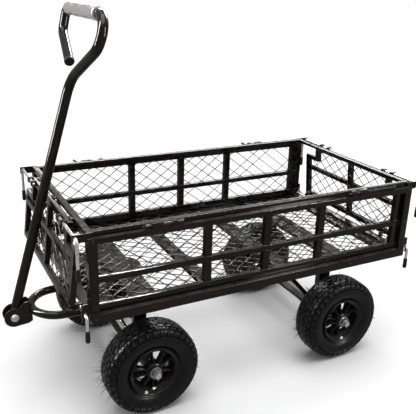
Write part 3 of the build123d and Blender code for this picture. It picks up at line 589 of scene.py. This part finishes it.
def make_wire_panels():
    lo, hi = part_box("floor_mesh")
    level = (lo.z + hi.z) / 2
    wire_panel(
        "floor_wires", lambda a, b, lift: Vector((a, b, level + lift)),
        rectangle(lo, hi, 0, 1), "bed", "floor_mesh",
    )
    for hand, side in HANDS:
        lo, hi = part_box(f"{hand}_side_mesh")
        y = (lo.y + hi.y) / 2
        wire_panel(
            f"{hand}_side_wires", lambda a, b, lift, y=y: Vector((a, y + lift, b)),
            rectangle(lo, hi, 0, 2), f"{hand}_side", f"{hand}_side_mesh",
        )
    for place, end in ENDS:
        lo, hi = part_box(f"{place}_gate_mesh")
        half = (hi.y - lo.y) / 2
        notch = GATE_NOTCH[end] + 0.002
        n = GATE_NOTCH_HALF
        outline = [
            (-half, -GATE_HEIGHT), (half, -GATE_HEIGHT), (half, -notch), (n, -notch),
            (n, -GATE_RAIL_EDGE), (-n, -GATE_RAIL_EDGE), (-n, -notch), (-half, -notch),
        ]
        wire_panel(f"{place}_gate_wires", gate_place(end), outline, "bed", f"{place}_gate_mesh")


# ------------------------------------------------------------------ wheels

TYRE_STEPS = 432
SIDEWALL = (
    (0.0640, 0.0270), (0.0665, 0.0300), (0.0700, 0.0325), (0.0735, 0.0340), (0.0745, 0.0352),
    (0.0760, 0.0352), (0.0770, 0.0362), (0.0820, 0.0388), (0.0870, 0.0404), (0.0930, 0.0416),
    (0.0990, 0.0419), (0.1040, 0.0414),
)
CROWN_RADIUS = 0.1268
CROWN_HALF_WIDTH = 0.0412
SHOULDER_DROP = 0.0215
TREAD_HALF_ARC = 0.0455
# Distance from the middle, half width, blocks round the tyre, shift and gap, in block pitches.
TREAD_ROWS = (
    (0.0000, 0.0058, 36, 0.0, 0.18), (0.0120, 0.0044, 36, 0.5, 0.20),
    (0.0235, 0.0050, 36, 0.0, 0.20), (0.0370, 0.0066, 36, 0.5, 0.30),
)
GROOVE = 0.0036
SIPE = 0.0012
WHISKERS = 170
RIB_HALF = 0.0013
FLANGE_Y = 0.0352
FLANGE_RADIUS = 0.0668
FLANGE_BEAD = 0.0021
RIM_LIP = ((0.0060, 0.0560), (0.0290, 0.0574), (0.0290, 0.0600), (0.0060, 0.0600))
HUB_COLLAR = (
    (-0.004, 0.0190), (0.0, 0.0225), (0.0035, 0.0225), (0.0050, 0.0205), (0.0050, 0.0150),
)
HUB_RIVET = ((0, 0.0042), (0.0014, 0.0042), (0.0026, 0.0030), (0.0030, 0.0010))
VALVE = (
    (0, 0.0042), (0.004, 0.0042), (0.006, 0.0034), (0.015, 0.0031), (0.0155, 0.0041),
    (0.019, 0.0041), (0.0195, 0.0037), (0.0215, 0.0037), (0.022, 0.0041), (0.0245, 0.0041),
    (0.0262, 0.0030),
)


def tread_point(arc):
    """(radius, y) on the rounded crown at a distance from the middle, along the surface."""
    t = abs(arc) / TREAD_HALF_ARC
    y = CROWN_HALF_WIDTH * math.sin(min(t, 1) ** 0.97 * math.pi / 2 * 0.985)
    radius = CROWN_RADIUS - SHOULDER_DROP * t ** 3.4
    return radius, math.copysign(y, arc)


def tread_depth(arc, angle):
    """How far the surface is sunk below the block tops."""
    for centre, half, count, shift, gap in TREAD_ROWS:
        if abs(abs(arc) - centre) <= half:
            slant = (abs(arc) - centre) * 14 * (1 if arc >= 0 else -1)
            phase = (angle / math.tau * count + shift + slant + (0.5 if arc < 0 else 0)) % 1
            if gap / 2 < phase < 1 - gap / 2:
                sipe = abs(phase - 0.5) < 0.035 and centre > 0.010
                return SIPE if sipe else 0.0
            return GROOVE
    return GROOVE if abs(arc) < 0.036 else GROOVE * 0.7


def tyre_mesh():
    arcs = [TREAD_HALF_ARC * (i / 40 - 1) for i in range(81)]
    profile = [("wall", r, -y) for r, y in SIDEWALL]
    profile += [("tread", arc, 0) for arc in arcs]
    profile += [("wall", r, y) for r, y in reversed(SIDEWALL)]
    vertices = []
    for step in range(TYRE_STEPS):
        angle = math.tau * step / TYRE_STEPS
        c, s = math.cos(angle), math.sin(angle)
        for kind, first, second in profile:
            if kind == "wall":
                radius, y = first, second
                if 0.0860 < radius < 0.1000:
                    y += math.copysign(0.00025, y) * (1 if int(angle / math.tau * 120) % 2 else -1)
            else:
                radius, y = tread_point(first)
                fade = min(1.0, (TREAD_HALF_ARC - abs(first)) / 0.0008)
                depth = tread_depth(first, angle) * fade
                t = abs(first) / TREAD_HALF_ARC
                radius -= depth * math.cos(t * 1.1)
                y -= math.copysign(depth * math.sin(t * 1.1), y)
            vertices.append((radius * c, y, radius * s))
    rows = len(profile)
    faces = []
    for step in range(TYRE_STEPS):
        after = (step + 1) % TYRE_STEPS
        for i in range(rows - 1):
            a, b = step * rows + i, after * rows + i
            faces.append((a, a + 1, b + 1, b))
    mesh = bpy.data.meshes.new("tyre")
    mesh.from_pydata(vertices, [], faces)
    mesh.polygons.foreach_set("use_smooth", [True] * len(mesh.polygons))
    mesh.set_sharp_from_angle(angle=math.radians(38))
    mesh.materials.append(TYRE_RUBBER)
    return mesh


def whisker_mesh():
    """Moulding whiskers, kept off the part of the tread that stands on the ground."""
    shape = Shape()
    for k in range(WHISKERS):
        ahead = k % 2 == 0
        angle = random.uniform(-35, 55) if ahead else random.uniform(-35, 215)
        arc = random.choice((-1, 1)) * random.uniform(0.008, TREAD_HALF_ARC + 0.001)
        radius, y = tread_point(arc)
        c, s = math.cos(math.radians(angle)), math.sin(math.radians(angle))
        root = Vector((radius * c * 0.985, y, radius * s * 0.985))
        out = Vector((c, arc * 14, s)) + Vector([random.uniform(-0.35, 0.35) for _ in range(3)])
        out.normalize()
        length = random.uniform(0.006, 0.026 if ahead else 0.012)
        droop = Vector((0, 0, -0.15 * length))
        points = [root, root + out * length * 0.5, root + out * length + droop]
        shape.tube(points, (0.00042, 0.00034, 0.00016), 4)
    return shape


def rim_detail():
    """Rolled flanges, inner lip, ribs beside the windows, hub collar and rivets."""
    shape = Shape()
    for side in (-1, 1):
        flange = []
        for k in range(12):
            a = math.tau * k / 12
            along = side * FLANGE_Y + FLANGE_BEAD * math.sin(a)
            flange.append((along, FLANGE_RADIUS + FLANGE_BEAD * math.cos(a)))
        shape.lathe((0, 0, 0), Y_AXIS, flange, 96, True)
    shape.lathe((0, 0, 0), Y_AXIS, RIM_LIP, 96, True)
    for window in range(5):
        for edge in (-1, 1):
            a = math.radians(36 + 72 * window + edge * 21)
            radial = Vector((math.cos(a), 0, math.sin(a)))
            along = Vector((-math.sin(a), 0, math.cos(a)))
            corners = []
            for r, low, high in ((0.0185, 0.008, 0.0300), (0.0385, 0.006, 0.0235), (0.0585, 0.004, 0.0225)):
                for y in (low, high):
                    for t in (-RIB_HALF, RIB_HALF):
                        corners.append(radial * r + along * t + Y_AXIS * y)
            shape.add(corners, [
                (0, 1, 3, 2), (8, 10, 11, 9), (0, 4, 5, 1), (4, 8, 9, 5), (2, 3, 7, 6), (6, 7, 11, 10),
                (1, 5, 7, 3), (5, 9, 11, 7), (0, 2, 6, 4), (4, 6, 10, 8),
            ])
    shape.lathe((0, 0.0300, 0), Y_AXIS, HUB_COLLAR, 48)
    for k in range(5):
        a = math.radians(72 * k)
        centre = Vector((math.cos(a) * 0.0300, 0.0165, math.sin(a) * 0.0300))
        shape.lathe(centre, Y_AXIS, HUB_RIVET, 14)
    return shape


def place_wheel_pieces():
    tyre = tyre_mesh()
    whisker_seed = whisker_mesh().object("whiskers_seed", 60)
    trim_seed = rim_detail().object("trim_seed", 30)
    whisker_seed.data.materials.append(TYRE_RUBBER)
    trim_seed.data.materials.append(RIM_PAINT)
    for hand, side in HANDS:
        for place, _ in ENDS:
            lo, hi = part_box(f"{hand}_{place}_tyre")
            centre = (lo + hi) / 2
            face = Matrix.Rotation(0 if side > 0 else math.pi, 4, "Z")
            body = f"{hand}_{place}_wheel"
            for name, data, slot in (
                ("tyre", tyre, "tyre"), ("whiskers", whisker_seed.data, "tyre"),
                ("rim_trim", trim_seed.data, "rim_black"),
            ):
                piece = bpy.data.objects.new(f"{hand}_{place}_{name}_detail", data)
                bpy.context.scene.collection.objects.link(piece)
                piece.matrix_world = Matrix.Translation(centre) @ face
                dress(piece, None, body, slot)
                if name == "tyre":
                    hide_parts(f"{hand}_{place}_tyre")
            valve = Shape()
            root = (centre.x, centre.y + side * 0.008, centre.z + 0.062)
            valve.lathe(root, DOWN, VALVE, 18)
            dress(valve.object(f"{hand}_{place}_valve", 35), SOFT_BLACK, body, "cap_rubber")
    bpy.data.objects.remove(whisker_seed)
    bpy.data.objects.remove(trim_seed)


# ------------------------------------------------------------------ latch rods

ROD_RADIUS = 0.004
TIP_RADIUS = 0.006
ROD_BEND = 0.009
ROD_TIP = (
    (0.0, 0.0020), (0.0004, 0.0040), (0.0018, 0.0054), (0.0040, 0.0060), (0.0200, 0.0058),
    (0.0270, 0.0055), (0.0285, 0.0059), (0.0300, 0.0058), (0.0312, 0.0050), (0.0320, 0.0041),
)


def make_latch_rods():
    for place, _ in ENDS:
        for hand, side in HANDS:
            for level in ("top", "low"):
                node = f"{place}_{hand}_{level}_rod"
                body = f"{place}_{hand}_{level}_latch"
                lo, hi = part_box(node)
                x = (lo.x + hi.x) / 2
                z = hi.z - ROD_RADIUS
                inner = lo.y if side > 0 else hi.y
                leg = (hi.y if side > 0 else lo.y) - side * TIP_RADIUS
                corner = Vector((x, leg, z))
                rod = Shape()
                foot = Vector((x, leg, lo.z + 0.020))
                path = rounded_path([Vector((x, inner, z)), corner, foot], ROD_BEND, 10)
                inward = Vector((0, side, 0))
                path = [path[0], path[0] + inward * 0.0008, path[0] + inward * 0.0030] + path[1:]
                radii = [0.0030, 0.0038] + [ROD_RADIUS] * (len(path) - 2)
                rod.tube(path, radii, 20)
                dress(rod.object(f"{node}_bar", 50), ZINC, body, "zinc", node)
                tip = Shape()
                tip.lathe((x, leg, lo.z), Z_AXIS, ROD_TIP, 24)
                dress(tip.object(f"{node}_tip", 50), SOFT_BLACK, body, "cap_rubber")


# ------------------------------------------------------------------ handle

GRIP_EDGE = ((0.0, 0.0026), (0.0006, 0.0012), (0.0024, 0.0004))
GRIP_STEPS = 72


def make_grip():
    """Sleeve with rounded ends, a faint swell and two fine grooves near each end."""
    lo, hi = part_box("handle_grip")
    radius = (hi.x - lo.x) / 2
    centre = Vector(((lo.x + hi.x) / 2, lo.y, (lo.z + hi.z) / 2))
    length = hi.y - lo.y
    profile = [(along, radius - sunk) for along, sunk in GRIP_EDGE]
    for i in range(GRIP_STEPS + 1):
        t = i / GRIP_STEPS
        along = 0.004 + (length - 0.008) * t
        swell = 0.0004 * math.cos(math.tau * t * 3) - 0.0005
        groove = -0.0006 if i in (3, 6, GRIP_STEPS - 6, GRIP_STEPS - 3) else 0
        profile.append((along, radius + swell + groove))
    profile += [(length - along, radius - sunk) for along, sunk in reversed(GRIP_EDGE)]
    shape = Shape()
    shape.lathe(centre, Y_AXIS, profile, 56)
    dress(shape.object("grip_sleeve", 50), GRIP, "handle", "grip_silver", "handle_grip")


# ------------------------------------------------------------------ fasteners and welds

SIDE_LEDGE = 0.2860
SIDE_FACE = 0.2760
SIDE_BACK = 0.2600
SIDE_UPRIGHTS = (
    (-0.481, -0.459), (-0.455, -0.435), (-0.183, -0.163), (-0.010, 0.010), (0.163, 0.183),
    (0.459, 0.481),
)
SIDE_WELD_LEVELS = (0.5190, 0.4320, 0.4170, 0.3610)
TOP_BACK_LEVEL = 0.5310
CORNER_RIVET_X = 0.470
CORNER_RIVET_LEVELS = (0.3605, 0.4290, 0.5260)
MIDDLE_RIVETS_X = (-0.173, 0.0, 0.173)
MIDDLE_RIVET_LEVEL = 0.3525
BED_FACE = 0.2890
BED_RIVETS_X = (-0.470, -0.440, -0.277, -0.092, 0.147, 0.326, 0.470)
BED_RIVET_LEVEL = 0.3300
REAR_BOLTS = ((-0.326, 0.150, 0.3150), (-0.266, 0.150, 0.3150))
FRONT_BOLTS = ((0.291, 0.230, 0.3160), (0.335, 0.230, 0.3160))
BED_CORNER_X = 0.480038
GATE_CAP_LEVEL = 0.016
GATE_WELD_LEVELS = (-GATE_CAP_LEVEL, -0.080, -0.094, -0.183)
GATE_FACE = GATE_MESH_BACK + 0.0070
CARRIAGE_BOLTS = ((0.295, 0.105, 0.2970), (0.331, 0.105, 0.2970))
YOKE_DOME = (
    (0, 0.0092), (0.0012, 0.0088), (0.0026, 0.0074), (0.0032, 0.0058), (0.0030, 0.0050),
    (0.0016, 0.0046), (0.0014, 0.0020), (0.0022, 0.0012),
)
BOLT_HEAD = 0.0040
RIVET_HEIGHT = 0.0018
RIVET_RADIUS = 0.0036
THIN_WELD = 0.0013
LOOP_WELD = 0.0018


def hex_bolt(shape, place, radius):
    """Hexagon head on a washer, facing down."""
    place = Vector(place)
    washer = [(0, radius * 1.45), (0.0012, radius * 1.45), (0.0014, radius * 1.30)]
    head = [
        (0, radius), (BOLT_HEAD * 0.8, radius), (BOLT_HEAD, radius * 0.86), (BOLT_HEAD, radius * 0.30),
    ]
    shape.lathe(place, DOWN, washer, 20)
    shape.lathe(place + DOWN * 0.0013, DOWN, head, 6)


def round_head(shape, place, side, radius=RIVET_RADIUS):
    """Low rivet head that faces sideways."""
    profile = [(0, radius)]
    for k in range(1, 7):
        a = math.pi / 2 * k / 7
        profile.append((RIVET_HEIGHT * math.sin(a), radius * math.cos(a)))
    shape.lathe(Vector(place), (0, side, 0), profile, 18)


def bead(shape, start, end, radius=THIN_WELD):
    """Weld bead with overlapping ripples."""
    start, end = Vector(start), Vector(end)
    length = (end - start).length
    count = max(6, int(length / 0.0012))
    points = []
    radii = []
    for i in range(count + 1):
        t = i / count
        jitter = Vector([random.uniform(-0.0002, 0.0002) for _ in range(3)])
        points.append(start.lerp(end, t) + jitter)
        taper = min(1, 6 * t, 6 * (1 - t)) * 0.6 + 0.4
        radii.append(radius * taper * (1.0 + 0.16 * math.sin(i * 1.9)))
    shape.tube(points, radii, 7)


def make_side_details():
    for hand, side in HANDS:
        welds = Shape()
        heads = Shape()
        ledge = side * SIDE_LEDGE
        face = side * SIDE_FACE
        back = side * SIDE_BACK
        for left, right in SIDE_UPRIGHTS:
            start, end = MID + left + 0.001, MID + right - 0.001
            for z in SIDE_WELD_LEVELS:
                y = face - side * (0.001 if abs(left) < 0.2 else 0)
                bead(welds, (start, y, z), (end, y, z))
                back_z = TOP_BACK_LEVEL if z > 0.5 else z
                bead(welds, (start, back, back_z), (end, back, back_z))
        for x in (-CORNER_RIVET_X, CORNER_RIVET_X):
            for z in CORNER_RIVET_LEVELS:
                round_head(heads, (MID + x, ledge, z), side)
        for x in MIDDLE_RIVETS_X:
            round_head(heads, (MID + x, face, MIDDLE_RIVET_LEVEL), side, 0.0034)
        dress(welds.object(f"{hand}_side_welds", 60), BLACK, f"{hand}_side", "black_coat")
        dress(heads.object(f"{hand}_side_rivets", 40), BLACK, f"{hand}_side", "black_coat")


def make_bed_details():
    bolts = Shape()
    rivets = Shape()
    welds = Shape()
    for side in (-1, 1):
        face = side * BED_FACE
        for x in BED_RIVETS_X:
            round_head(rivets, (MID + x, face, BED_RIVET_LEVEL), side)
        for x, y, z in (*REAR_BOLTS, *FRONT_BOLTS):
            hex_bolt(bolts, (MID + x, side * y, z), 0.0055)
        for x in (MID - BED_CORNER_X, MID + BED_CORNER_X):
            bead(welds, (x, side * 0.268, 0.3430), (x, side * 0.287, 0.3430), 0.0012)
    dress(bolts.object("bed_bolts", 40), ZINC, "bed", "zinc")
    dress(rivets.object("bed_rivets", 40), BLACK, "bed", "black_coat")
    dress(welds.object("bed_welds", 60), BLACK, "bed", "black_coat")
    for place, end in ENDS:
        spot = gate_place(end)
        half = GATE_HALF[end]
        notch = GATE_NOTCH[end]
        shape = Shape()
        stile = (half - 0.017, half - 0.001)
        for s in (-1, 1):
            for a0, a1, b in (
                (*stile, -0.183), (*stile, -0.094), (*stile, -0.080),
                (0.169, 0.185, -notch), (0.169, 0.185, -GATE_CAP_LEVEL),
            ):
                bead(shape, spot(s * a0, b, GATE_FACE), spot(s * a1, b, GATE_FACE))
        for b in GATE_WELD_LEVELS:
            bead(shape, spot(-0.007, b, GATE_FACE), spot(0.007, b, GATE_FACE))
        dress(shape.object(f"{place}_gate_welds", 60), BLACK, "bed", "black_coat")


def make_carriage_details():
    welds = Shape()
    lo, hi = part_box("tongue_loop")
    for side in (-1, 1):
        y = side * 0.0750
        for turn in (-1, 1):
            start = Vector((lo.x + 0.006, y + turn * 0.0100, 0.2440))
            bead(welds, start, start + Vector((0.050, 0, 0)), LOOP_WELD)
        x = lo.x + 0.0055
        bead(welds, (x, side * 0.088, 0.2250), (x, side * 0.088, 0.2510), LOOP_WELD)
    yoke_lo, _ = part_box("yoke")
    head_lo, head_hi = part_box("yoke_bolt")
    head = Vector(((head_lo.x + head_hi.x) / 2, head_hi.y - 0.0002, (head_lo.z + head_hi.z) / 2))
    dome = Shape()
    dome.lathe(head, Y_AXIS, YOKE_DOME, 28)
    dress(dome.object("yoke_bolt_dome", 40), ZINC, "front_carriage", "zinc")
    x = yoke_lo.x + 0.001
    for side in (-1, 1):
        bead(welds, (x, side * 0.0150, 0.2280), (x, side * 0.0150, 0.2500), 0.0020)
    dress(welds.object("carriage_welds", 60), BLACK, "front_carriage", "black_coat")
    bolts = Shape()
    for side in (-1, 1):
        for x, y, z in CARRIAGE_BOLTS:
            hex_bolt(bolts, (MID + x, side * y, z), 0.0050)
    dress(bolts.object("carriage_bolts", 40), ZINC, "front_carriage", "zinc")


view = make_camera()
make_studio(view)
dress_frame_parts()
make_wire_panels()
place_wheel_pieces()
make_latch_rods()
make_grip()
make_side_details()
make_bed_details()
make_carriage_details()

bpy.context.view_layer.update()
